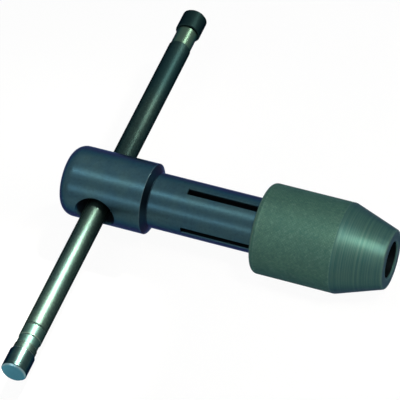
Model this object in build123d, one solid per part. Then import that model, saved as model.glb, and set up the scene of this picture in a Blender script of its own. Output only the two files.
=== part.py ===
from build123d import *
import math
import os

# T-handle tap wrench, in millimetres.
# The tool's axis is X, with the front end of the jaws' grip bore at X = 0 and the nose at +X.
# The sliding handle bar lies along Y, and +Z is up.

# Lengths along the tool's axis
head_length = 23.9
bare_shank_length = 28.9
nut_barrel_length = 21.9
nut_nose_length = 12.0
jaw_recess = 4.7

# Head and shank
head_diameter = 18.4
head_rear_round = 3.5
head_rear_flat_count = 5
head_front_taper = 1.15
shank_diameter = 14.3
bar_station = 10.7
countersink_diameter = 10.8
countersink_angle = 60.0
centre_hole_diameter = 2.5
centre_hole_mouth = 5.0
centre_hole_depth = 5.0

# Split jaws
slot_count = 4
slot_width = 1.7
slot_setback = 9.25
slot_turn = 1.5
grip_bore_diameter = 6.0
grip_mouth_chamfer = 0.4
jaw_neck_step = 0.8
closing_half_angle = 18.0
thread_diameter = 16.0
thread_length = 9.0
thread_edge_chamfer = 0.5

# Chuck nut
nut_diameter = 23.4
nut_nose_diameter = 15.2
nut_rear_round = 1.4
nut_nose_round = 0.6
nut_edge_flat_count = 2
nut_mouth_diameter = 9.4
nut_mouth_length = 3.0
nut_mouth_chamfer = 0.3
nut_rear_bore_diameter = 16.6
nut_travel = 4.0

# Retaining ring in the nut
ring_width = 1.4
ring_thickness = 1.3
ring_groove_diameter = 17.5
ring_setback = 2.4
ring_gap_angle = 40.0
ring_stop_margin = 0.3

# Sliding handle bar
bar_diameter = 6.0
bar_overall_length = 124.0
neck_shoulder_length = 0.25
neck_diameter = 5.6
far_neck_length = 5.6
near_neck_length = 3.0
cap_diameter = 6.7
cap_length = 6.0
cap_end_chamfer = 0.5
cap_inner_round = 0.3
spigot_diameter = 4.0
spigot_length = 4.4

# Detent inside the head
ball_diameter = 3.0
spring_wire_diameter = 0.5
spring_outer_diameter = 2.9
spring_height = 5.0
spring_turns = 4
screw_diameter = 4.0
screw_length = 6.0
screw_socket_flats = 2.0
screw_socket_depth = 2.4
screw_end_chamfer = 0.4
screw_hole_run_out = 2.4

# Clearances
bar_running_gap = 0.06
thread_running_gap = 0.04
ring_running_gap = 0.05
cone_gap = 0.08
ball_side_gap = 0.1
ball_contact_gap = 0.02
pressed_gap = 0.01
screw_gap = 0.03
spigot_end_gap = 0.2

# Places along the axis, from the nose back to the head
jaw_tip_x = grip_mouth_chamfer
nose_x = jaw_tip_x + jaw_recess
nut_rear_x = nose_x - nut_nose_length - nut_barrel_length
head_front_x = nut_rear_x - bare_shank_length
head_rear_x = head_front_x - head_length
bar_x = head_rear_x + bar_station
slot_start_x = head_front_x + slot_setback

# The ring rides in the nut, and the thread's rear shoulder stops it
ring_x = nut_rear_x + ring_setback
thread_rear_x = ring_x + ring_width / 2 + nut_travel + ring_stop_margin
thread_front_x = thread_rear_x + thread_length

# The closing cone inside the nut, and the same cone on the jaws a gap below it
closing_slope = math.tan(math.radians(closing_half_angle))
nut_cone_front_x = nose_x - nut_mouth_length
nut_thread_radius = thread_diameter / 2 + thread_running_gap
nut_mouth_radius = nut_mouth_diameter / 2
nut_cone_rear_x = nut_cone_front_x - (nut_thread_radius - nut_mouth_radius) / closing_slope
cone_drop = cone_gap / math.cos(math.radians(closing_half_angle))
jaw_tip_radius = nut_mouth_radius + (nut_cone_front_x - jaw_tip_x) * closing_slope - cone_drop
jaw_neck_radius = thread_diameter / 2 - jaw_neck_step
jaw_cone_rear_x = jaw_tip_x - (jaw_neck_radius - jaw_tip_radius) / closing_slope

# The detent's pieces in line, from the bar forwards
ball_radius = ball_diameter / 2
ball_x = bar_x + bar_diameter / 2 + ball_contact_gap + ball_radius
coil_radius = (spring_outer_diameter - spring_wire_diameter) / 2
wire_radius = spring_wire_diameter / 2
ball_to_coil = math.sqrt((ball_radius + wire_radius + ball_contact_gap) ** 2 - coil_radius ** 2)
spring_rear_x = ball_x + ball_to_coil
spring_front_x = spring_rear_x + spring_height
screw_rear_x = spring_front_x + wire_radius + ball_contact_gap
screw_front_x = screw_rear_x + screw_length
screw_hole_front_x = screw_front_x + screw_hole_run_out


def turned(outline):
    # A closed outline of (x, radius) points, turned about the tool's axis
    return revolve(make_face(Polyline(*outline, close=True)), Axis.X)


def plain_bore(start_x, end_x, diameter):
    # A cylinder along the tool's axis, to be cut away
    return turned([(start_x, 0), (start_x, diameter / 2), (end_x, diameter / 2), (end_x, 0)])


def rounded(before, corner, after, radius, flat_count):
    # A corner of an outline, as the points of a round made of a few short flats
    corner_at = Vector(*corner)
    to_before = (Vector(*before) - corner_at).normalized()
    to_after = (Vector(*after) - corner_at).normalized()
    half_angle = math.radians(to_before.get_angle(to_after)) / 2
    centre = corner_at + (to_before + to_after).normalized() * (radius / math.sin(half_angle))
    start = corner_at + to_before * (radius / math.tan(half_angle)) - centre
    full_turn = 180 - 2 * math.degrees(half_angle)
    side = -1 if to_before.cross(to_after).Z > 0 else 1
    turns = [side * full_turn * step / flat_count for step in range(flat_count + 1)]
    points = [centre + start.rotate(Axis.Z, turn) for turn in turns]
    return [(point.X, point.Y) for point in points]


def rim(solid, x, radius):
    # The circular edge of a turned solid at one place and radius
    tolerance = 0.001
    return [
        edge
        for edge in solid.edges().filter_by(GeomType.CIRCLE)
        if abs(edge.arc_center.X - x) < tolerance and abs(edge.radius - radius) < tolerance
    ]


def body_blank():
    # Head, shank, thread band and closing cone as one turned piece
    head_radius = head_diameter / 2
    shank_radius = shank_diameter / 2
    thread_radius = thread_diameter / 2
    rear_middle = (head_rear_x, 0)
    rear_corner = (head_rear_x, head_radius)
    taper_start = (head_front_x - head_front_taper, head_radius)
    blank = turned(
        [
            rear_middle,
            *rounded(rear_middle, rear_corner, taper_start, head_rear_round, head_rear_flat_count),
            taper_start,
            (head_front_x, shank_radius),
            (thread_rear_x, shank_radius),
            (thread_rear_x, thread_radius),
            (thread_front_x, thread_radius),
            (thread_front_x, jaw_neck_radius),
            (jaw_cone_rear_x, jaw_neck_radius),
            (jaw_tip_x, jaw_tip_radius),
            (jaw_tip_x, 0),
        ]
    )
    # A chamfer takes no more than most of the shoulder that it is cut on
    most_of_shoulder = 0.9
    rear_chamfer = min(thread_edge_chamfer, most_of_shoulder * (thread_radius - shank_radius))
    front_chamfer = min(thread_edge_chamfer, most_of_shoulder * jaw_neck_step)
    blank = chamfer(rim(blank, thread_rear_x, thread_radius), rear_chamfer)
    return chamfer(rim(blank, thread_front_x, thread_radius), front_chamfer)


def axial_bores():
    # Grip bore from the mouth, screw hole behind it, ball passage into the cross hole
    grip = turned(
        [
            (screw_hole_front_x, 0),
            (screw_hole_front_x, grip_bore_diameter / 2),
            (0, grip_bore_diameter / 2),
            (jaw_tip_x, grip_bore_diameter / 2 + grip_mouth_chamfer),
            (jaw_tip_x, 0),
        ]
    )
    screw_hole = plain_bore(screw_rear_x, screw_hole_front_x, screw_diameter + 2 * screw_gap)
    passage = plain_bore(bar_x, screw_rear_x, ball_diameter + 2 * ball_side_gap)
    return grip + screw_hole + passage


def centre_hole():
    # The turner's centre hole in the rear face: a small drilled hole with a 60 degree mouth
    mouth_radius = centre_hole_mouth / 2
    drill_radius = centre_hole_diameter / 2
    mouth_depth = (mouth_radius - drill_radius) / math.tan(math.radians(30))
    return turned(
        [
            (head_rear_x, 0),
            (head_rear_x, mouth_radius),
            (head_rear_x + mouth_depth, drill_radius),
            (head_rear_x + centre_hole_depth, drill_radius),
            (head_rear_x + centre_hole_depth, 0),
        ]
    )


def cross_hole():
    # The bar's hole across the head, widened to a cone at both ends
    hole_radius = bar_diameter / 2 + bar_running_gap
    rim_radius = countersink_diameter / 2
    head_radius = head_diameter / 2
    widening = math.tan(math.radians(countersink_angle / 2))
    sink_depth = (rim_radius - hole_radius) / widening
    beyond = 1.0
    half = make_face(
        Polyline(
            (0, 0),
            (hole_radius, 0),
            (hole_radius, head_radius - sink_depth),
            (rim_radius + beyond * widening, head_radius + beyond),
            (0, head_radius + beyond),
            close=True,
        )
    )
    one_side = revolve(half, Axis.Y)
    return Pos(bar_x, 0, 0) * (one_side + Rot(X=180) * one_side)


def jaw_slots():
    # Straight slots, evenly spaced, from the shank through the jaws' tips
    slot_length = nose_x - slot_start_x
    slot_height = thread_diameter
    cuts = []
    for number in range(slot_count):
        blade = Pos(slot_start_x + slot_length / 2, 0, slot_height / 2) * Box(
            slot_length, slot_width, slot_height
        )
        cuts.append(Rot(X=slot_turn + number * 360 / slot_count) * blade)
    return cuts


def wrench_body():
    solid = body_blank() - axial_bores() - centre_hole() - cross_hole()
    for cut in jaw_slots():
        solid = solid - cut
    return solid


def chuck_nut():
    # Barrel and coned nose outside; ring groove, thread and closing cone inside
    outer_radius = nut_diameter / 2
    nose_radius = nut_nose_diameter / 2
    rear_bore_radius = nut_rear_bore_diameter / 2
    thread_start_x = thread_rear_x - thread_edge_chamfer
    rear_inner = (nut_rear_x, rear_bore_radius)
    rear_outer = (nut_rear_x, outer_radius)
    barrel_front = (nut_rear_x + nut_barrel_length, outer_radius)
    nose_outer = (nose_x, nose_radius)
    nose_inner = (nose_x, nut_mouth_radius)
    solid = turned(
        [
            rear_inner,
            *rounded(rear_inner, rear_outer, barrel_front, nut_rear_round, nut_edge_flat_count),
            barrel_front,
            *rounded(barrel_front, nose_outer, nose_inner, nut_nose_round, nut_edge_flat_count),
            nose_inner,
            (nut_cone_front_x, nut_mouth_radius),
            (nut_cone_rear_x, nut_thread_radius),
            (thread_start_x, nut_thread_radius),
            (thread_start_x, rear_bore_radius),
        ]
    )
    solid = chamfer(rim(solid, nose_x, nut_mouth_radius), nut_mouth_chamfer)
    groove_half = ring_width / 2 + ring_running_gap
    return solid - plain_bore(ring_x - groove_half, ring_x + groove_half, ring_groove_diameter)


def retaining_ring():
    # Flat wire bent to an open ring, resting against the bottom of the nut's groove
    outer_radius = ring_groove_diameter / 2 - ring_running_gap
    section = Pos(ring_x, outer_radius - ring_thickness / 2, 0) * Rectangle(ring_width, ring_thickness)
    open_ring = revolve(section, Axis.X, 360 - ring_gap_angle)
    return Rot(X=180 + ring_gap_angle / 2) * open_ring


def bar_half(neck_length):
    # From the bar's middle to its +Y end: the plain bar, a neck and a spigot for the cap
    spigot_start_y = bar_overall_length / 2 - cap_length
    shoulder_y = spigot_start_y - neck_length
    bar_radius = bar_diameter / 2
    outline = Polyline(
        (0, 0),
        (bar_radius, 0),
        (bar_radius, shoulder_y - neck_shoulder_length),
        (neck_diameter / 2, shoulder_y),
        (neck_diameter / 2, spigot_start_y),
        (spigot_diameter / 2, spigot_start_y),
        (spigot_diameter / 2, spigot_start_y + spigot_length),
        (0, spigot_start_y + spigot_length),
        close=True,
    )
    return revolve(make_face(outline), Axis.Y)


def handle_bar():
    # The far end's neck is longer than the near end's
    return Pos(bar_x, 0, 0) * (bar_half(far_neck_length) + Rot(X=180) * bar_half(near_neck_length))


def handle_cap():
    # Cap for the +Y end: a blind bore over the spigot, a bold chamfer at the free end
    end_y = bar_overall_length / 2
    inner_y = end_y - cap_length
    cap_radius = cap_diameter / 2
    bore_radius = spigot_diameter / 2 + pressed_gap
    bore_end_y = inner_y + spigot_length + spigot_end_gap
    outline = Polyline(
        (bore_radius, inner_y),
        (cap_radius - cap_inner_round, inner_y),
        (cap_radius, inner_y + cap_inner_round),
        (cap_radius, end_y - cap_end_chamfer),
        (cap_radius - cap_end_chamfer, end_y),
        (0, end_y),
        (0, bore_end_y),
        (bore_radius, bore_end_y),
        close=True,
    )
    return Pos(bar_x, 0, 0) * revolve(make_face(outline), Axis.Y)


def detent_ball():
    return Pos(ball_x, 0, 0) * Sphere(ball_radius)


def detent_spring():
    # A coil of wire, drawn with four flats in place of its round section
    coil = Helix(spring_height / spring_turns, spring_height, coil_radius)
    section = Plane(origin=coil @ 0, z_dir=coil % 0) * RegularPolygon(wire_radius, 4)
    return Pos(spring_rear_x, 0, 0) * Rot(Y=90) * sweep(section, path=coil, is_frenet=True)


def detent_screw():
    # Headless screw with a hexagon socket that faces the jaws
    radius = screw_diameter / 2
    solid = plain_bore(screw_rear_x, screw_front_x, screw_diameter)
    solid = chamfer(rim(solid, screw_rear_x, radius) + rim(solid, screw_front_x, radius), screw_end_chamfer)
    across_corners = screw_socket_flats / math.cos(math.radians(30))
    socket_plane = Plane(origin=(screw_front_x, 0, 0), z_dir=(-1, 0, 0))
    hexagon = socket_plane * RegularPolygon(across_corners / 2, 6)
    return solid - extrude(hexagon, screw_socket_depth)


os.makedirs("parts", exist_ok=True)
far_cap = handle_cap()
near_cap = Pos(bar_x, 0, 0) * Rot(Z=180) * Pos(-bar_x, 0, 0) * far_cap
pieces = {
    "wrench_body": wrench_body(),
    "chuck_nut": chuck_nut(),
    "nut_retaining_ring": retaining_ring(),
    "handle_bar": handle_bar(),
    "handle_cap_far": far_cap,
    "handle_cap_near": near_cap,
    "detent_ball": detent_ball(),
    "detent_spring": detent_spring(),
    "detent_screw": detent_screw(),
}
for name, piece in pieces.items():
    export_step(piece, f"parts/{name}.step")
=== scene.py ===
import math

import bpy
import numpy as np
from mathutils import Matrix, Vector


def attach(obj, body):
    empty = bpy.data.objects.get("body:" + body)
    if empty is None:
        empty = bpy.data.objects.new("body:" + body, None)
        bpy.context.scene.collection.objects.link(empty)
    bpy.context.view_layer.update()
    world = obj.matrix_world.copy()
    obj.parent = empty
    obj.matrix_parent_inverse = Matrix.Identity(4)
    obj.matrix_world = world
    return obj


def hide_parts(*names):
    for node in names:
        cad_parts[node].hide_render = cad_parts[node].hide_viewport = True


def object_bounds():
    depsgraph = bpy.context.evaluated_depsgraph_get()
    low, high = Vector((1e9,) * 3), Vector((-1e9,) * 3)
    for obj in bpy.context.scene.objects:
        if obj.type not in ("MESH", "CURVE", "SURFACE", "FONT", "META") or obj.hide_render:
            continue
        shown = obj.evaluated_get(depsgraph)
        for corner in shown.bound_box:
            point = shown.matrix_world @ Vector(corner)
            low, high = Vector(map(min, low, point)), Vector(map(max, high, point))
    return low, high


# T-handle tap wrench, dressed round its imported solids.
# Sizes are millimetres in the part's own frame: the tool's axis is X and the handle bar lies along Y.
# The newMesh function turns them into metres.

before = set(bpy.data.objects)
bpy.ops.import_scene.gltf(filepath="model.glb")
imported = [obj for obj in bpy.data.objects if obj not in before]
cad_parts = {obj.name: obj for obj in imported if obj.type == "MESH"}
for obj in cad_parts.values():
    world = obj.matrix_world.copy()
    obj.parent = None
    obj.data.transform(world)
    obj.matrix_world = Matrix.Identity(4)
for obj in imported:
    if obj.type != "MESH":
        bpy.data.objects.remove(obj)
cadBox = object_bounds()
mm = 0.001
tiny = 1e-6


# Curves and grids

def filleted(corners, arcSteps=6):
    # An outline of (x, r, round): each side is cut back by round / tan(half angle),
    # and arcSteps equal turns about the centre carry one tangent point to the other.
    points = [np.array(corners[0][:2], float)]
    for before, corner, after in zip(corners, corners[1:], corners[2:]):
        at = np.array(corner[:2], float)
        if corner[2] == 0:
            points.append(at)
            continue
        back = np.array(before[:2]) - at
        ahead = np.array(after[:2]) - at
        back, ahead = back / np.hypot(*back), ahead / np.hypot(*ahead)
        half = math.acos(np.clip(back @ ahead, -1, 1)) / 2
        middle = (back + ahead) / np.hypot(*(back + ahead))
        centre = at + middle * corner[2] / math.sin(half)
        start = at + back * corner[2] / math.tan(half) - centre
        turn = math.pi - 2 * half
        if back[0] * ahead[1] - back[1] * ahead[0] > 0:
            turn = -turn
        angles = turn * np.linspace(0, 1, arcSteps + 1)
        cos, sin = np.cos(angles), np.sin(angles)
        arc = np.stack([start[0] * cos - start[1] * sin, start[0] * sin + start[1] * cos], 1) + centre
        points.extend(arc)
    points.append(np.array(corners[-1][:2], float))
    return np.array(points)


def divided(points, step):
    # The same outline with each side cut into equal parts no longer than step
    parts = []
    for start, end in zip(points, points[1:]):
        count = max(1, math.ceil(np.hypot(*(end - start)) / step - tiny))
        parts.append(start + (end - start) * (np.arange(count) / count)[:, None])
    return np.vstack(parts + [points[-1:]])


def turnedPoints(rows, columns, ripple=None):
    # point(i, j) = (x_i, r cos t_j, r sin t_j), with t_j = 2 pi j / columns and r = r_i + ripple(x_i, r_i, t_j)
    angle = np.arange(columns) * 2 * np.pi / columns
    x = np.repeat(rows[:, :1], columns, 1)
    r = np.repeat(rows[:, 1:], columns, 1)
    if ripple is not None:
        r = r + ripple(x, r, angle[None, :])
    return np.stack([x, r * np.cos(angle), r * np.sin(angle)], 2).reshape(-1, 3)


def bandFaces(first, second, columns):
    # Quads between two rings of vertices that start at the given numbers
    j = np.arange(columns)
    k = (j + 1) % columns
    return np.stack([first + j, second + j, second + k, first + k], 1)


def poleFaces(pole, ring, columns, atStart):
    # A fan of triangles from a vertex on the axis to a ring
    j = np.arange(columns)
    k = (j + 1) % columns
    order = [np.full(columns, pole), ring + j, ring + k]
    return np.stack(order if atStart else order[::-1], 1)


def signedVolume(points, faces):
    # One sixth of a . (b x c), summed over the triangles of every face
    total = 0.0
    for block in faces:
        for corner in range(1, block.shape[1] - 1):
            a, b, c = points[block[:, 0]], points[block[:, corner]], points[block[:, corner + 1]]
            total += np.einsum("ij,ij->i", a, np.cross(b, c)).sum() / 6
    return total


def smoothed(piece, sharpAngle):
    # Smooth shading, but for edges that turn by more than the angle
    piece.data.polygons.foreach_set("use_smooth", np.ones(len(piece.data.polygons), bool))
    piece.data.set_sharp_from_angle(angle=math.radians(sharpAngle))
    piece.data.update()


def newMesh(name, points, faces, sharpAngle=32):
    # One mesh object from whole arrays, in metres, with its faces turned outwards
    if signedVolume(points, faces) < 0:
        faces = [block[:, ::-1] for block in faces]
    mesh = bpy.data.meshes.new(name)
    mesh.from_pydata((points * mm).tolist(), [], [face for block in faces for face in block.tolist()])
    mesh.validate()
    piece = bpy.data.objects.new(name, mesh)
    bpy.context.scene.collection.objects.link(piece)
    smoothed(piece, sharpAngle)
    return piece


def solidOfRevolution(name, rows, columns, place=None, sharpAngle=32):
    # A turned solid whose outline starts and ends on the axis, so that both ends close in a pole
    inner = rows[1:-1]
    points = turnedPoints(inner, columns)
    last = len(inner) - 1
    faces = [
        np.vstack([bandFaces(i * columns, (i + 1) * columns, columns) for i in range(last)]),
        np.vstack([
            poleFaces(len(points), 0, columns, True),
            poleFaces(len(points) + 1, last * columns, columns, False),
        ]),
    ]
    points = np.vstack([points, [[rows[0][0], 0, 0], [rows[-1][0], 0, 0]]])
    if place is not None:
        points = place(points)
    return newMesh(name, points, faces, sharpAngle)


def acrossTool(points):
    # Turns a solid from the tool's axis onto the bar's axis: (x, y, z) becomes (station - y, x, z)
    return np.stack([-points[:, 1] + barLook["station"], points[:, 0], points[:, 2]], 1)


def cutAway(piece, cutters, sharpAngle=32):
    # Takes the cutters out of a piece, one after the other, and leaves a plain mesh
    for cutter in cutters:
        cut = piece.modifiers.new("cut", "BOOLEAN")
        cut.operation = "DIFFERENCE"
        cut.solver = "EXACT"
        cut.object = cutter
        shape = piece.evaluated_get(bpy.context.evaluated_depsgraph_get())
        result = bpy.data.meshes.new_from_object(shape)
        piece.modifiers.clear()
        old, piece.data = piece.data, result
        bpy.data.meshes.remove(old)
        spent = cutter.data
        bpy.data.objects.remove(cutter)
        bpy.data.meshes.remove(spent)
    piece.data.name = piece.name
    smoothed(piece, sharpAngle)


def dressed(piece, ridesOn, stands):
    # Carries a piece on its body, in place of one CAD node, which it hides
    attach(piece, ridesOn)
    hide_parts(stands)
    return piece


# The split body

bodyLook = {
    "columns": 256, "arcSteps": 10, "longest": 1.0,
    "rear": -81.6, "front": -57.7, "headRadius": 9.2, "rearRound": 3.5, "frontTaper": 1.15, "edgeSoftness": 0.14,
    "shankRadius": 7.15, "rootRound": 0.3,
    "centreMouth": 2.5, "centreDrill": 1.25, "centreDepth": 5.0, "centreAngle": 30.0, "centreRound": 0.1,
    "threadRear": -21.4, "threadFront": -12.4, "threadRadius": 8.0, "threadChamfer": 0.5, "threadRoot": 0.2,
    "neckRadius": 7.2, "tip": 0.4, "tipRadius": 5.168, "closingAngle": 18.0, "coneRound": 0.4, "tipRound": 0.15,
    "gripRadius": 3.0, "mouthChamfer": 0.4, "gripEnd": -51.409, "screwRadius": 2.03, "screwEnd": -59.81,
    "ballRadius": 1.6,
    "holeRadius": 3.06, "sinkRadius": 5.4, "sinkAngle": 60.0, "sinkSoftness": 0.35, "drillReach": 1.0,
    "drillColumns": 128, "drillArcSteps": 8,
    "slotStart": -48.45, "slotWidth": 1.7, "slotTurn": 1.5, "slotBreak": 0.14, "slotBreakDepths": (2.0, 0.4),
    "slotOut": 12.0, "slotPast": 2.0,
}
closingSlope = math.tan(math.radians(bodyLook["closingAngle"]))


def bodyOutline(b):
    # Round the body from the bottom of the centre hole, over the outside, to the bottom of the bore. A cone's length
    # is its drop in radius divided by the tangent of its angle to the axis.
    drillDrop = (b["centreMouth"] - b["centreDrill"]) / math.tan(math.radians(b["centreAngle"]))
    soft, chamfer = b["edgeSoftness"], b["threadChamfer"]
    coneRear = b["tip"] - (b["neckRadius"] - b["tipRadius"]) / closingSlope
    corners = [
        (b["rear"] + b["centreDepth"], 0, 0),
        (b["rear"] + b["centreDepth"], b["centreDrill"], 0),
        (b["rear"] + drillDrop, b["centreDrill"], 0),
        (b["rear"], b["centreMouth"], b["centreRound"]),
        (b["rear"], b["headRadius"], b["rearRound"]),
        (b["front"] - b["frontTaper"], b["headRadius"], soft),
        (b["front"], b["shankRadius"], b["rootRound"]),
        (b["threadRear"], b["shankRadius"], b["threadRoot"]),
        (b["threadRear"], b["threadRadius"] - chamfer, 0),
        (b["threadRear"] + chamfer, b["threadRadius"], 0),
        (b["threadFront"] - chamfer, b["threadRadius"], 0),
        (b["threadFront"], b["threadRadius"] - chamfer, 0),
        (b["threadFront"], b["neckRadius"], 0),
        (coneRear, b["neckRadius"], b["coneRound"]),
        (b["tip"], b["tipRadius"], b["tipRound"]),
        (b["tip"], b["gripRadius"] + b["mouthChamfer"], 0),
        (b["tip"] - b["mouthChamfer"], b["gripRadius"], 0),
        (b["gripEnd"], b["gripRadius"], 0),
        (b["gripEnd"], b["screwRadius"], 0),
        (b["screwEnd"], b["screwRadius"], 0),
        (b["screwEnd"], b["ballRadius"], 0),
        (barLook["station"], b["ballRadius"], 0),
        (barLook["station"], 0, 0),
    ]
    return divided(filleted(corners, b["arcSteps"]), b["longest"])


def crossHoleCutter(b):
    # A drill for the bar's hole that widens to a cone at both ends: each millimetre out adds the tangent of half the
    # cone's angle to the radius
    widening = math.tan(math.radians(b["sinkAngle"] / 2))
    depth = (b["sinkRadius"] - b["holeRadius"]) / widening
    half = [
        (0, b["holeRadius"], 0),
        (b["headRadius"] - depth, b["holeRadius"], b["sinkSoftness"]),
        (b["headRadius"] + b["drillReach"], b["sinkRadius"] + widening * b["drillReach"], 0),
        (b["headRadius"] + b["drillReach"], 0, 0),
    ]
    right = filleted(half, b["drillArcSteps"])
    left = right[::-1] * np.array([-1, 1])
    return solidOfRevolution("crossHole", np.vstack([left, right[1:]]), b["drillColumns"], acrossTool)


def slotCutter(b, turn):
    # One straight slot through both sides: a cross section, turned by the angle and drawn out along X. Near the skin
    # it widens by slotBreak on each side, between the two slotBreakDepths, which count in slotBreak.
    half, broken, surface = b["slotWidth"] / 2, b["slotBreak"], b["shankRadius"]
    inner, outer = (surface - depth * broken for depth in b["slotBreakDepths"])
    side = np.array([[half, 0], [half, inner], [half + broken, outer], [half + broken, b["slotOut"]]])
    ring = np.vstack([side, side[::-1] * [-1, 1], -side[1:], (side[::-1] * [1, -1])[:-1]])
    ring = np.array([point for n, point in enumerate(ring.tolist()) if point != ring[n - 1].tolist()])
    count = len(ring)
    c, s = math.cos(math.radians(turn)), math.sin(math.radians(turn))
    section = np.stack([ring[:, 0] * c - ring[:, 1] * s, ring[:, 0] * s + ring[:, 1] * c], 1)
    ends = [np.column_stack([np.full(count, x), section]) for x in (b["slotStart"], b["tip"] + b["slotPast"])]
    n = np.arange(count)
    walls = np.stack([n, (n + 1) % count, (n + 1) % count + count, n + count], 1)
    return newMesh("slot", np.vstack(ends), [walls, n[None, ::-1], n[None, :] + count])


def makeBody(b):
    # The turned blank less the cross hole and two slots a quarter turn apart, which leave four jaws
    body = solidOfRevolution("split_body", bodyOutline(b), b["columns"])
    cutAway(body, [crossHoleCutter(b)] + [slotCutter(b, b["slotTurn"] + turn) for turn in (0, 90)])
    return dressed(body, "wrench_body", "wrench_body")


# The chuck nut

nutLook = {
    "rear": -28.8, "barrelFront": -6.9, "nose": 5.1, "radius": 11.7, "noseRadius": 7.6,
    "rearRound": 1.4, "frontSoftness": 2.0, "noseRound": 0.6, "outerArcSteps": 8, "outerLongest": 0.35,
    "mouthRadius": 4.7, "mouthChamfer": 0.3, "mouthLength": 3.0, "mouthRound": 0.08,
    "boreRadius": 8.3, "boreRound": 0.2, "grooveRadius": 8.75, "grooveRear": -27.15, "grooveFront": -25.65,
    "threadStart": -21.9, "threadRadius": 8.04, "innerArcSteps": 4, "innerLongest": 0.8,
    "rearSeam": (1.2, 0.9), "noseSeam": (1.4, 0.9), "barrelGap": 0.05,
    "knurlsRound": 100, "knurlDepth": 0.05, "knurlWidth": 0.42, "knurlInset": 0.01, "knurlFade": 0.6, "sharpAngle": 40,
}


def knurlPitch(n):
    # The way round the barrel divided by the number of knurls
    return 2 * np.pi * n["radius"] / n["knurlsRound"]


def knurlHeight(x, angle, n):
    # Two crossed families of V grooves: a = x / pitch + n t / 2 pi and b = x / pitch - n t / 2 pi, with a groove
    # wherever either is a whole number and a half; the depth falls off evenly over knurlWidth of the pitch.
    along = (x - n["rear"] - n["rearRound"]) / knurlPitch(n)
    around = angle * n["knurlsRound"] / (2 * np.pi)
    grooves = [
        np.clip(1 - np.abs((value % 1) - 0.5) / n["knurlWidth"], 0, 1) for value in (along + around, along - around)
    ]
    return -n["knurlDepth"] * np.maximum(*grooves)


def nutOutlines(n, step):
    # The outside in three parts, so that the knurl's rows keep their own spacing, and the inside in one. Outside and
    # inside end on the two end faces, at the seams' distances beyond the bore and the mouth.
    rearOut, rearIn = (n["boreRadius"] + beyond for beyond in n["rearSeam"])
    noseOut, noseIn = (n["mouthRadius"] + beyond for beyond in n["noseSeam"])
    start = n["rear"] + n["rearRound"]
    back = n["frontSoftness"] * math.tan(math.atan2(n["radius"] - n["noseRadius"], n["nose"] - n["barrelFront"]) / 2)
    rows = int((n["barrelFront"] - back - start) / step)
    rearPart = filleted([
        (n["rear"], rearOut, 0), (n["rear"], n["radius"], n["rearRound"]), (start, n["radius"], 0),
    ], n["outerArcSteps"])[:-1]
    barrel = np.column_stack([start + np.arange(rows + 1) * step, np.full(rows + 1, n["radius"])])
    front = filleted([
        (barrel[-1][0] + n["barrelGap"], n["radius"], 0), (n["barrelFront"], n["radius"], n["frontSoftness"]),
        (n["nose"], n["noseRadius"], n["noseRound"]), (n["nose"], noseOut, 0),
    ], n["outerArcSteps"])
    coneFront = n["nose"] - n["mouthLength"]
    coneRear = coneFront - (n["threadRadius"] - n["mouthRadius"]) / closingSlope
    inner = filleted([
        (n["nose"], noseIn, 0), (n["nose"], n["mouthRadius"] + n["mouthChamfer"], n["mouthRound"]),
        (n["nose"] - n["mouthChamfer"], n["mouthRadius"], n["mouthRound"]), (coneFront, n["mouthRadius"], 0),
        (coneRear, n["threadRadius"], 0), (n["threadStart"], n["threadRadius"], 0),
        (n["threadStart"], n["boreRadius"], 0), (n["grooveFront"], n["boreRadius"], 0),
        (n["grooveFront"], n["grooveRadius"], 0), (n["grooveRear"], n["grooveRadius"], 0),
        (n["grooveRear"], n["boreRadius"], 0), (n["rear"], n["boreRadius"], n["boreRound"]), (n["rear"], rearIn, 0),
    ], n["innerArcSteps"])
    return rearPart, barrel, divided(front, n["outerLongest"]), divided(inner, n["innerLongest"])


def knurlFaces(rows, firstRow, columns):
    # Each knurled cell splits along the diagonal that lies in a groove
    i, j = np.meshgrid(np.arange(rows), np.arange(columns), indexing="ij")
    ring = (i + firstRow) * columns
    a, b = ring + j, ring + columns + j
    c, d = ring + columns + (j + 1) % columns, ring + (j + 1) % columns
    across = ((i + j + 1) % 4 == 2)[..., None]
    one = np.where(across, np.stack([a, b, d], -1), np.stack([a, b, c], -1)).reshape(-1, 3)
    two = np.where(across, np.stack([b, c, d], -1), np.stack([a, c, d], -1)).reshape(-1, 3)
    return np.vstack([one, two])


def halvingFaces(outerRing, innerRing, innerColumns, forward):
    # Five-sided faces join a ring to one with half as many columns
    k = np.arange(innerColumns)
    m = (k + 1) % innerColumns
    nextOuter = (2 * k + 2) % (2 * innerColumns)
    around = [outerRing + 2 * k, innerRing + k, innerRing + m, outerRing + nextOuter, outerRing + 2 * k + 1]
    return np.stack(around if forward else around[::-1], 1)


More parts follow.
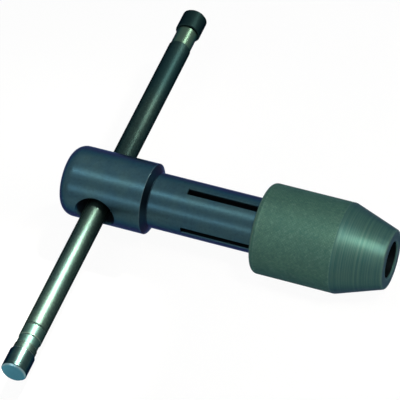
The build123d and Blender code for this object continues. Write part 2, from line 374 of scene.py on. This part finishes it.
def makeNut(n):
    # Outside: rear round, knurled barrel, coned nose. Inside: mouth, closing cone, bore, groove.
    columns, pitch = 4 * n["knurlsRound"], knurlPitch(n)
    innerColumns = columns // 2
    rearPart, barrel, front, inner = nutOutlines(n, pitch / 4)
    outer = np.vstack([rearPart, barrel, front])
    knurlRows, firstRow = len(barrel) - 1, len(rearPart)
    start, end = barrel[0][0] + n["knurlInset"], barrel[-1][0] - n["knurlInset"]
    fadeLength = pitch * n["knurlFade"]

    def knurl(x, r, angle):
        # The grooves on the barrel's own radius, fading in and out evenly at its ends
        fade = np.clip((x - start) / fadeLength, 0, 1) * np.clip((end - x) / fadeLength, 0, 1)
        return np.where(np.abs(r - n["radius"]) < tiny, knurlHeight(x, angle, n) * fade, 0)

    outerPoints = turnedPoints(outer, columns, knurl)
    points = np.vstack([outerPoints, turnedPoints(inner, innerColumns)])
    base = len(outerPoints)
    plainRows = [i for i in range(len(outer) - 1) if not firstRow <= i < firstRow + knurlRows]
    quads = [bandFaces(i * columns, (i + 1) * columns, columns) for i in plainRows]
    innerRings = [base + i * innerColumns for i in range(len(inner))]
    quads += [bandFaces(ring, ring + innerColumns, innerColumns) for ring in innerRings[:-1]]
    seams = np.vstack([
        halvingFaces((len(outer) - 1) * columns, innerRings[0], innerColumns, True),
        halvingFaces(0, innerRings[-1], innerColumns, False),
    ])
    faces = [np.vstack(quads), knurlFaces(knurlRows, firstRow, columns), seams]
    nut = newMesh("knurled_nut", points, faces, n["sharpAngle"])
    return dressed(nut, "nut", "chuck_nut")


# The handle bar and its caps

barLook = {
    "station": -70.9, "columns": 96, "longest": 1.0, "radius": 3.0, "half": 62.0,
    "shoulderLength": 0.25, "shoulderSoftness": 0.1,
    "neckRadius": 2.8, "farNeck": 5.6, "nearNeck": 2.1, "neckSoftness": 0.08,
    "collarLength": 2.2, "collarRadius": 2.98, "ridgeLength": 3.9, "ridgeGroove": 0.6, "ridgeRadius": 3.0,
    "grooveRadius": 2.82,
    "spigotRadius": 2.0, "spigotLength": 4.4, "spigotRound": 0.2,
    "capLength": 6.0, "capRadius": 3.35, "capChamfer": 0.5, "capRounds": (0.3, 0.2, 0.15), "capLongest": 0.5,
    "capPlay": (0.2, 0.01),
}


def barHalf(b, neckLength, rolled):
    # From the middle outwards: the bar, the neck, the spigot. The rolled near end adds a ridge behind a groove
    # before the neck, and a collar after it.
    spigot = b["half"] - b["capLength"]
    neckEnd = spigot - (b["collarLength"] if rolled else 0)
    shoulder = neckEnd - neckLength
    ridgeStart = shoulder - b["ridgeLength"]
    groove, soft = b["ridgeGroove"], b["neckSoftness"]
    ridge = [
        (ridgeStart, b["radius"], soft), (ridgeStart + groove / 2, b["grooveRadius"], soft),
        (ridgeStart + groove, b["ridgeRadius"], soft),
    ]
    collar = [(neckEnd, b["neckRadius"], soft), (neckEnd + b["shoulderLength"], b["collarRadius"], soft)]
    half = [
        (0, b["radius"], 0),
        *(ridge if rolled else []),
        (shoulder - b["shoulderLength"], b["ridgeRadius"] if rolled else b["radius"], b["shoulderSoftness"]),
        (shoulder, b["neckRadius"], soft),
        *(collar if rolled else []),
        (spigot, b["collarRadius"] if rolled else b["neckRadius"], 0),
        (spigot, b["spigotRadius"], 0),
        (spigot + b["spigotLength"], b["spigotRadius"], b["spigotRound"]),
        (spigot + b["spigotLength"], 0, 0),
    ]
    return divided(filleted(half), b["longest"])


def makeBar(b):
    # The two halves joined at the middle, the near one mirrored
    near, far = barHalf(b, b["nearNeck"], True), barHalf(b, b["farNeck"], False)
    rows = np.vstack([near[::-1] * [-1, 1], far[1:]])
    bar = solidOfRevolution("sliding_bar", rows, b["columns"], acrossTool)
    return dressed(bar, "handle", "handle_bar")


def makeCap(b, side, name, node):
    # A cup over the spigot, with a little play in depth and radius; side is 1 for the far end and -1 for the near end
    deep, wide = b["capPlay"]
    start, end = b["half"] - b["capLength"], b["half"]
    depth, socket = b["spigotLength"] + deep, b["spigotRadius"] + wide
    inner, shoulder, edge = b["capRounds"]
    corners = [
        (start + depth, 0, 0), (start + depth, socket, 0), (start, socket, 0), (start, b["capRadius"], inner),
        (end - b["capChamfer"], b["capRadius"], shoulder), (end, b["capRadius"] - b["capChamfer"], edge), (end, 0, 0),
    ]
    rows = divided(filleted(corners), b["capLongest"]) * [side, 1]
    cap = solidOfRevolution(name, rows, b["columns"], acrossTool)
    return dressed(cap, "handle", node)


body = makeBody(bodyLook)
print("body made,", len(body.data.polygons), "faces")
nut = makeNut(nutLook)
print("nut made,", len(nut.data.polygons), "faces")
bar = makeBar(barLook)
caps = [makeCap(barLook, side, name, node) for side, name, node in (
    (1, "bar_cap_far", "handle_cap_far"), (-1, "bar_cap_near", "handle_cap_near"),
)]
print("bar and caps made")


# Shader maths

class Sock:
    # A shader value that adds, multiplies and compares like a number, one Math node for each operation
    def __init__(self, graph, socket):
        self.graph, self.socket = graph, socket

    def math(self, operation, *others):
        values = dict(enumerate((self,) + others))
        return self.graph.node("ShaderNodeMath", {"operation": operation}, values)

    def reflected(self, operation, other):
        # The same with the other value first
        return self.graph.node("ShaderNodeMath", {"operation": operation}, {0: other, 1: self})

    def __add__(self, other): return self.math("ADD", other)
    def __sub__(self, other): return self.math("SUBTRACT", other)
    def __rsub__(self, other): return self.reflected("SUBTRACT", other)
    def __mul__(self, other): return self.math("MULTIPLY", other)
    def __truediv__(self, other): return self.math("DIVIDE", other)
    def least(self, other): return self.math("MINIMUM", other)
    def most(self, other): return self.math("MAXIMUM", other)
    def root(self): return self.math("SQRT")

    def beyond(self, at, span):
        # 0 at the span's first distance past a place, 1 at its second
        return self.between(at + span[0], at + span[1])

    def between(self, low, high):
        # 0 at low, 1 at high, eased at both ends
        sockets = {0: self, 1: low, 2: high, 3: 0.0, 4: 1.0}
        return self.graph.node("ShaderNodeMapRange", {"interpolation_type": "SMOOTHSTEP"}, sockets)


class Graph:
    # An emptied node tree and the one way to add to it
    def __init__(self, tree):
        self.tree = tree
        tree.nodes.clear()

    def node(self, kind, settings=None, sockets=None, out=0):
        made = self.tree.nodes.new(kind)
        for key, value in (settings or {}).items():
            setattr(made, key, value)
        for key, value in (sockets or {}).items():
            self.put(made.inputs[key], value)
        return Sock(self, made.outputs[out] if made.outputs else None)

    def put(self, socket, value):
        if isinstance(value, Sock):
            self.tree.links.new(value.socket, socket)
        elif isinstance(value, (tuple, list)) and len(value) == 3 and socket.type == "RGBA":
            socket.default_value = (*value, 1.0)
        else:
            socket.default_value = value

    def places(self):
        # The piece's own coordinates, in millimetres
        place = self.node("ShaderNodeTexCoord", out="Object")
        scaled = self.node("ShaderNodeVectorMath", {"operation": "SCALE"}, {0: place, "Scale": 1 / mm})
        return scaled, [self.node("ShaderNodeSeparateXYZ", sockets={0: scaled}, out=axis) for axis in range(3)]

    def stretched(self, place, scales):
        # The same coordinates, each multiplied by its own number
        return self.node("ShaderNodeVectorMath", {"operation": "MULTIPLY"}, {0: place, 1: scales})

    def noise(self, scale, kind, vector=None, w=None):
        # Over a place in space, or over one number w
        detail, roughness = noiseKinds[kind]
        settings = {"noise_dimensions": "1D" if vector is None else "3D"}
        sockets = {"Scale": scale, "Detail": detail, "Roughness": roughness}
        if vector is not None:
            sockets["Vector"] = vector
        if w is not None:
            sockets["W"] = w
        return self.node("ShaderNodeTexNoise", settings, sockets)

    def blend(self, factor, first, second):
        return self.node("ShaderNodeMix", {"data_type": "RGBA"}, {0: factor, 6: first, 7: second}, out=2)

    def bump(self, height):
        # height is in millimetres
        return self.node("ShaderNodeBump", None, {"Height": height * mm, "Strength": 1.0, "Distance": 1.0})


# The finishes. Noise kinds are (detail, roughness); pairs of thresholds are (where a mark starts, where it is full).

noiseKinds = {
    "smooth": (1.0, 0.5), "turned": (3.0, 0.6), "patchy": (4.0, 0.6), "drawn": (2.0, 0.6), "speckled": (2.0, 0.7),
    "mottled": (3.0, 0.7),
}
steelLook = {
    "ringSlant": 0.73, "broadScale": 0.22, "ringMix": (0.6, 0.4), "depthMix": (0.55, 0.45), "fineRough": 0.08,
    "stained": (0.35, 0.65), "ringed": (0.38, 0.66), "scratched": (0.60, 0.72), "dark": (0.50, 0.30),
    "light": (0.52, 0.74), "insideRough": 0.25, "leastRough": 0.08, "rimRagged": 0.35, "rimCore": 0.35,
}


def newMaterial(name):
    # A material and the graph of its emptied node tree
    material = bpy.data.materials.new(name)
    material.use_nodes = True
    return material, Graph(material.node_tree)


def mixed(first, second, shares):
    # The sum of two values, each times its share
    return first * shares[0] + second * shares[1]


def metal(material, graph, colour, roughness, look, height):
    # A Principled metal: the tint darkens and colours it where it is seen at a slant
    normal = graph.bump(height)
    roughness = roughness.most(steelLook["leastRough"])
    surface = graph.node("ShaderNodeBsdfPrincipled", None, {
        "Base Color": colour, "Roughness": roughness, "Metallic": look["metallic"],
        "Specular Tint": (*look["edgeTint"], 1.0), "Normal": normal,
    })
    graph.node("ShaderNodeOutputMaterial", None, {0: surface})
    return material


def rimWear(along, radius, specks, rims):
    # 1 on the given rims, each (along, radius, width), and 0 beyond its width, made ragged by the specks
    worn = None
    for rimAlong, rimRadius, width in rims:
        near, out = along - rimAlong, radius - rimRadius
        distance = (near * near + out * out).root() + (specks - 0.5) * steelLook["rimRagged"]
        gone = distance.between(width, width * steelLook["rimCore"])
        worn = gone if worn is None else worn.most(gone)
    return worn


def turnedSteel(name, look):
    # Turned or ground metal about X or Y: fine rings, patches of stain, drawn scratches, bands of another shade,
    # and rims where the finish has worn through. Rings run over w = distance along the axis + ringSlant of the radius,
    # so they cover the ends too. A band is (start, end, softness, shade, share, polish).
    material, s = newMaterial(name)
    t = steelLook
    place, (x, y, z) = s.places()
    alongX = look["axis"] == "X"
    offset = y if alongX else x - barLook["station"]
    along, radius = x if alongX else y, (offset * offset + z * z).root()
    w = along + radius * t["ringSlant"]
    fine = s.noise(1 / look["ringPitch"], "turned", w=w)
    broad = s.noise(t["broadScale"] / look["ringPitch"], "smooth", w=w)
    patches = s.noise(look["patchScale"], "patchy", place)
    specks = s.noise(look["speckScale"], "speckled", place)
    scratches = s.noise(1.0, "drawn", s.stretched(place, look["drawn"]))
    ringed = mixed(fine, broad, t["ringMix"]).between(*t["ringed"])
    colour = s.blend(patches.between(*t["stained"]), look["base"], look["stain"])
    colour = s.blend(ringed * look["ringContrast"], colour, look["bright"])
    colour = s.blend(scratches.between(*t["scratched"]) * look["scratchContrast"], colour, look["bright"])
    colour = s.blend(specks.between(*t["dark"]) * look["grain"], colour, look["grimeAndShade"])
    colour = s.blend(specks.between(*t["light"]) * look["grain"], colour, look["bright"])
    roughness = (patches - 0.5) * look["roughSpread"] + (fine - 0.5) * t["fineRough"] + look["roughness"]
    for start, end, soft, shade, share, polish in look["bands"]:
        mask = along.between(start - soft, start + soft) * along.between(end + soft, end - soft)
        colour = s.blend(mask * share, colour, shade)
        roughness = roughness - mask * polish
    if look["rims"]:
        colour = s.blend(rimWear(along, radius, specks, look["rims"]) * look["wear"], colour, look["bare"])
    height = mixed(fine, broad, t["depthMix"]) * look["ringDepth"] + specks * look["speckDepth"]
    height = height + scratches * look["scratchDepth"]
    # Painted shade: where the look has an inside mask, the recesses turn dark and grow rougher
    if "inside" in look:
        inside = look["inside"](x, z, radius)
        colour = s.blend(inside, colour, look["grimeAndShade"])
        roughness = roughness + inside * t["insideRough"]
    return metal(material, s, colour, roughness, look, height)


# Where the painted shade inside starts and where it is full, from the skin, the countersink, the slots' end and the
# tip
insideEdges = {"skin": (0.35, 0.85), "sink": (1.2, -0.4), "slot": (-0.4, -0.1), "tip": (-0.05, -0.2)}


def bodyInside(x, z, radius):
    # Painted shade in the slots, bore and cross hole: everything more than a little below the turned skin, but for the
    # jaws' front ends
    b, edge = bodyLook, insideEdges
    onHead = ((b["front"] - x) / b["frontTaper"]).most(0.0).least(1.0)
    skin = onHead * (b["headRadius"] - b["shankRadius"]) + b["shankRadius"]
    deep = (skin - radius).between(*edge["skin"])
    offset = x - barLook["station"]
    around = (offset * offset + z * z).root().beyond(b["sinkRadius"], edge["sink"])
    slots = x.beyond(b["slotStart"], edge["slot"]) * x.beyond(b["tip"], edge["tip"])
    return deep * around.most(slots)


bodyFinish = {
    "axis": "X", "base": (0.020, 0.050, 0.068), "stain": (0.025, 0.056, 0.066), "bright": (0.040, 0.084, 0.100),
    "bare": (0.16, 0.22, 0.23), "grimeAndShade": (0.008, 0.011, 0.013), "edgeTint": (0.05, 0.22, 0.45),
    "ringPitch": 0.16, "ringContrast": 0.10, "ringDepth": 0.008, "patchScale": 0.16, "speckScale": 1.6, "grain": 0.20,
    "speckDepth": 0.007, "drawn": (0.10, 2.4, 2.4), "scratchContrast": 0.12, "scratchDepth": 0.004,
    "roughness": 0.32, "roughSpread": 0.10, "metallic": 0.9, "wear": 0.15, "inside": bodyInside,
    # The band paints shade on the head's front face and the root of the shank
    "bands": [(-58.80, -57.45, 0.06, (0.006, 0.013, 0.019), 0.85, 0.0)],
    "rims": [(-58.85, 9.2, 0.20), (-81.6, 2.5, 0.3)],
}
barFinish = {
    "axis": "Y", "base": (0.012, 0.026, 0.026), "stain": (0.017, 0.033, 0.030), "bright": (0.040, 0.066, 0.056),
    "bare": (0.30, 0.42, 0.36), "grimeAndShade": (0.01, 0.01, 0.01), "edgeTint": (0.05, 0.16, 0.30),
    "ringPitch": 0.10, "ringContrast": 0.10, "ringDepth": 0.0008, "patchScale": 0.12, "speckScale": 2.0, "grain": 0.45,
    "speckDepth": 0.0030, "drawn": (4.0, 0.06, 4.0), "scratchContrast": 0.35, "scratchDepth": 0.0010,
    "roughness": 0.46, "roughSpread": 0.06, "metallic": 1.0, "wear": 0.15,
    "bands": [
        (-53.8, -51.5, 0.1, (0.022, 0.050, 0.048), 0.8, 0.0), (-51.3, -48.2, 0.15, (0.018, 0.042, 0.040), 0.6, 0.0),
        # The first band on this line paints shade over the far half of the bar; the second is a paler, smoother neck
        (32.0, 50.4, 6.0, (0.007, 0.022, 0.026), 0.65, -0.04), (50.4, 56.0, 0.1, (0.048, 0.084, 0.064), 0.9, 0.10),
    ],
    "rims": [(50.3, 3.0, 0.2), (-51.5, 3.0, 0.25), (-53.9, 3.0, 0.2)],
}
capFinish = {
    "axis": "Y", "base": (0.014, 0.032, 0.034), "stain": (0.018, 0.038, 0.038), "bright": (0.040, 0.066, 0.062),
    "bare": (0.36, 0.43, 0.40), "grimeAndShade": (0.01, 0.01, 0.01), "edgeTint": (0.05, 0.18, 0.36),
    "ringPitch": 0.14, "ringContrast": 0.2, "ringDepth": 0.0015, "patchScale": 0.2, "speckScale": 4.0, "grain": 0.2,
    "speckDepth": 0.002, "drawn": (2.0, 0.2, 2.0), "scratchContrast": 0.2, "scratchDepth": 0.0010,
    "roughness": 0.30, "roughSpread": 0.08, "metallic": 1.0, "wear": 0.30,
    "bands": [
        # The first band paints a reflection on the near cap's end face; the second paints shade over the far cap,
        # which it also roughens
        (-62.3, -61.6, 0.05, (0.10, 0.26, 0.32), 0.7, 0.0), (55.8, 62.3, 0.1, (0.006, 0.015, 0.015), 0.8, -0.22),
    ],
    "rims": [(-61.75, 3.1, 0.3), (-56.1, 3.3, 0.2)],
}

nutFinish = {
    "base": (0.056, 0.122, 0.090), "stain": (0.047, 0.108, 0.084), "valley": (0.040, 0.090, 0.072),
    "bare": (0.13, 0.20, 0.17),
    "noseBase": (0.031, 0.075, 0.068), "noseStain": (0.026, 0.070, 0.069), "noseBright": (0.085, 0.150, 0.112),
    "grimeAndShade": (0.006, 0.008, 0.009), "edgeTint": (0.05, 0.22, 0.40), "metallic": 0.85,
    "patchScale": 0.14, "stained": (0.36, 0.64), "mottleScale": 0.8, "mottled": (0.40, 0.66), "mottleShare": 0.7,
    "valleys": (0.7, 0.05), "valleyShare": 0.6, "tips": (0.75, 1.05), "tipRagged": 0.5, "tipWear": 0.34,
    "speckScale": 1.5, "speckDepth": 0.05, "dark": (0.50, 0.32), "darkShare": 0.5, "light": (0.52, 0.72),
    "lightShare": 0.3,
    "feedPitch": 0.42, "feedDepth": 0.0035, "ringPitch": 0.15, "ringDepth": 0.006, "ringMix": (0.5, 0.5),
    "ringed": (0.36, 0.66), "ringShare": 0.35, "noseStart": (-0.6, -0.3),
    "roughness": 0.60, "noseRoughness": 0.48, "roughSpread": 0.14, "fineRough": 0.06, "rimWear": 0.4,
    "wall": (1.6, 1.9), "lip": (0.25, 0.45),
    "rims": [(5.0, 7.5, 0.25), (5.1, 5.0, 0.2), (-28.4, 11.4, 0.35)],
}


def nutSteel(name, look):
    # Knurl with painted shade in its grooves and worn tips, a turned nose with clear feed rings, and painted shade in
    # the bore. tip is 0 at the bottom of a groove and 1 on the barrel's full radius; inside is deeper below the skin
    # than the wall and behind the lip.
    material, s = newMaterial(name)
    n = nutLook
    place, (x, y, z) = s.places()
    radius = (y * y + z * z).root()
    w = x + radius * steelLook["ringSlant"]
    feed = s.noise(1 / look["feedPitch"], "smooth", w=w)
    fine = s.noise(1 / look["ringPitch"], "turned", w=w)
    patches = s.noise(look["patchScale"], "patchy", place)
    mottle = s.noise(look["mottleScale"], "mottled", place)
    specks = s.noise(look["speckScale"], "mottled", place)
    stained = patches.between(*look["stained"])
    onNose = x.beyond(n["barrelFront"], look["noseStart"])
    onBarrel = 1 - onNose
    tip = (radius - (n["radius"] - n["knurlDepth"])) / n["knurlDepth"]
    worn = (tip + (specks - 0.5) * look["tipRagged"]).between(*look["tips"])
    barrel = s.blend(stained, look["base"], look["stain"])
    barrel = s.blend(mottle.between(*look["mottled"]) * look["mottleShare"], barrel, look["valley"])
    # Painted shade in the knurl's grooves, darker the deeper they go
    barrel = s.blend(tip.between(*look["valleys"]) * look["valleyShare"], barrel, look["valley"])
    barrel = s.blend(worn * look["tipWear"], barrel, look["bare"])
    barrel = s.blend(specks.between(*look["dark"]) * look["darkShare"], barrel, look["noseStain"])
    barrel = s.blend(specks.between(*look["light"]) * look["lightShare"], barrel, look["bare"])
    ringed = mixed(feed, fine, look["ringMix"]).between(*look["ringed"])
    nose = s.blend(stained, look["noseBase"], look["noseStain"])
    nose = s.blend(ringed * look["ringShare"], nose, look["noseBright"])
    colour = s.blend(onNose, barrel, nose)
    colour = s.blend(rimWear(x, radius, specks, look["rims"]) * look["rimWear"], colour, look["bare"])
    slope = (n["radius"] - n["noseRadius"]) / (n["nose"] - n["barrelFront"])
    skin = n["radius"] - (x - n["barrelFront"]).most(0.0) * slope
    # Painted shade in the bore and mouth, behind the lip
    inside = (skin - radius).between(*look["wall"]) * (n["nose"] - x).between(*look["lip"])
    colour = s.blend(inside, colour, look["grimeAndShade"])
    change = look["noseRoughness"] - look["roughness"]
    roughness = onNose * change + look["roughness"]
    roughness = roughness + (patches - 0.5) * look["roughSpread"] + (fine - 0.5) * look["fineRough"]
    rings = (feed - 0.5) * look["feedDepth"] + (fine - 0.5) * look["ringDepth"]
    height = onNose * rings + onBarrel * (specks - 0.5) * look["speckDepth"]
    return metal(material, s, colour, roughness, look, height)


hiddenFinish = {
    "axis": "X", "base": (0.30, 0.31, 0.32), "stain": (0.24, 0.25, 0.26), "bright": (0.42, 0.43, 0.44),
    "bare": (0.5, 0.5, 0.5), "grimeAndShade": (0.01, 0.01, 0.01), "edgeTint": (0.6, 0.6, 0.6),
    "ringPitch": 0.12, "ringContrast": 0.3, "ringDepth": 0.004, "patchScale": 0.5, "speckScale": 5.0, "grain": 0.1,
    "speckDepth": 0.002, "drawn": (1.0, 1.0, 1.0), "scratchContrast": 0.2, "scratchDepth": 0.001,
    "roughness": 0.3, "roughSpread": 0.15, "metallic": 1.0, "wear": 0.0, "bands": [], "rims": [],
}
hiddenChanges = {
    "nut_retaining_ring": {},
    "detent_ball": {"base": (0.62, 0.63, 0.65), "roughness": 0.12, "ringDepth": 0.0},
    "detent_spring": {"base": (0.42, 0.43, 0.45)},
    "detent_screw": {
        "base": (0.03, 0.03, 0.034), "stain": (0.05, 0.045, 0.04), "bright": (0.08, 0.08, 0.09), "roughness": 0.45,
    },
}


def dress(piece, material):
    # One material over the whole piece
    piece.data.materials.clear()
    piece.data.materials.append(material)


dress(body, turnedSteel("bodySteel", bodyFinish))
dress(nut, nutSteel("nutSteel", nutFinish))
dress(bar, turnedSteel("barSteel", barFinish))
capSteel = turnedSteel("capSteel", capFinish)
for cap in caps:
    dress(cap, capSteel)
for node, changes in hiddenChanges.items():
    dress(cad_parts[node], turnedSteel(node + "_steel", {**hiddenFinish, **changes}))
print("finishes made")


# Floor, light and camera

white = (1.0, 1.0, 1.0)
stageLook = {"floorSize": 8.0, "floorColour": (0.86, 0.87, 0.88), "floorGlow": 0.95, "ambient": 0.42}

lampLook = {
    "bodyLamp": {
        "aim": (-0.05, 0.0, 0.0), "way": (-0.276, -0.165, 0.947), "away": 0.50, "size": (0.30, 0.06), "spread": 180,
        "watts": 0.52, "colour": (0.97, 1.0, 0.96),
    },
    "lowLamp": {
        "aim": (-0.05, 0.0, 0.0), "way": (-0.276, -0.870, 0.408), "away": 0.60, "size": (0.30, 0.08), "spread": 180,
        "watts": 0.40, "colour": (0.90, 0.96, 1.0),
    },
    "noseLamp": {
        "aim": (0.006, 0.0, 0.0), "way": (0.355, -0.160, 0.921), "away": 0.50, "size": (0.05, 0.14), "spread": 18,
        "watts": 0.036, "colour": (1.0, 0.93, 0.80),
    },
    "barLamp": {
        "aim": (-0.084, -0.046, 0.0), "way": (0.210, 0.583, 0.785), "away": 0.33, "size": (0.04, 0.03), "spread": 10,
        "watts": 0.105, "colour": (1.0, 0.88, 0.72),
    },
    "farLamp": {
        "aim": (-0.082, 0.034, 0.0), "way": (0.480, 0.583, 0.655), "away": 0.33, "size": (0.06, 0.03), "spread": 10,
        "watts": 0.0085, "colour": (1.0, 0.94, 0.80),
    },
}


def whiteForEye(graph, dull, bright, strength):
    # Bright for rays from the camera and off shiny or clear surfaces, the dull shader for all others
    camera, glossy, transmission = (
        graph.node("ShaderNodeLightPath", out=ray) for ray in ("Is Camera Ray", "Is Glossy Ray", "Is Transmission Ray")
    )
    share = camera.most(glossy).most(transmission) * strength
    return graph.node("ShaderNodeMixShader", None, {0: share, 1: dull, 2: bright})


def makeFloor(look):
    # A pale square at the height of the part's lowest point
    lowest = cadBox[0].z
    half = look["floorSize"] / 2
    corners = [(-half, -half, lowest), (half, -half, lowest), (half, half, lowest), (-half, half, lowest)]
    mesh = bpy.data.meshes.new("floor")
    mesh.from_pydata(corners, [], [[0, 1, 2, 3]])
    floor = bpy.data.objects.new("floor", mesh)
    bpy.context.scene.collection.objects.link(floor)
    material, graph = newMaterial("floorPaper")
    plain = graph.node("ShaderNodeBsdfDiffuse", None, {0: look["floorColour"]})
    glow = graph.node("ShaderNodeEmission", None, {0: white, 1: 1.0})
    graph.node("ShaderNodeOutputMaterial", None, {0: whiteForEye(graph, plain, glow, look["floorGlow"])})
    mesh.materials.append(material)


def makeWorld(look):
    # White to look at, ambient as light
    world = bpy.data.worlds.new("studio")
    bpy.context.scene.world = world
    world.use_nodes = True
    graph = Graph(world.node_tree)
    dim, full = (
        graph.node("ShaderNodeBackground", None, {0: white, 1: strength}) for strength in (look["ambient"], 1.0)
    )
    graph.node("ShaderNodeOutputWorld", None, {0: whiteForEye(graph, dim, full, 1.0)})


def makeLamp(name, look):
    # A rectangular lamp with a grid, which keeps its light within spread degrees. It stands at aim + away times the
    # unit vector of way, and faces back along it.
    lamp = bpy.data.lights.new(name, "AREA")
    lamp.shape = "RECTANGLE"
    lamp.size, lamp.size_y = look["size"]
    lamp.spread = math.radians(look["spread"])
    lamp.energy = look["watts"]
    lamp.color = look["colour"]
    holder = bpy.data.objects.new(name, lamp)
    bpy.context.scene.collection.objects.link(holder)
    back = Vector(look["way"]).normalized()
    right = (Vector((1, 0, 0)) - back * back.x).normalized()
    at = Vector(look["aim"]) + back * look["away"]
    holder.matrix_world = Matrix.Translation(at) @ Matrix((right, back.cross(right), back)).transposed().to_4x4()


cameraLook = {
    "azimuth": 25.34, "elevation": 49.82, "roll": -5.66, "distance": 0.850, "aim": (-0.04716, 0.00345, 0.0),
    "lens": 302.56, "sensor": 36.0, "clip": (0.01, 50.0),
}


def makeCamera(look):
    # back = (sin az cos el, -cos az cos el, sin el); right and up turn by roll about it
    azimuth, elevation, roll = (math.radians(look[key]) for key in ("azimuth", "elevation", "roll"))
    back = Vector((
        math.sin(azimuth) * math.cos(elevation), -math.cos(azimuth) * math.cos(elevation), math.sin(elevation),
    ))
    right = (-back).cross(Vector((0, 0, 1))).normalized()
    up = right.cross(-back)
    right, up = right * math.cos(roll) + up * math.sin(roll), up * math.cos(roll) - right * math.sin(roll)
    camera = bpy.data.objects.new("camera", bpy.data.cameras.new("camera"))
    bpy.context.scene.collection.objects.link(camera)
    camera.data.lens = look["lens"]
    camera.data.sensor_width = look["sensor"]
    camera.data.clip_start, camera.data.clip_end = look["clip"]
    place = Vector(look["aim"]) + back * look["distance"]
    camera.matrix_world = Matrix.Translation(place) @ Matrix((right, up, back)).transposed().to_4x4()
    bpy.context.scene.camera = camera


makeFloor(stageLook)
makeWorld(stageLook)
for name, look in lampLook.items():
    makeLamp(name, look)
makeCamera(cameraLook)
bpy.context.scene.view_settings.view_transform = "Standard"
print("stage made")

bpy.context.view_layer.update()
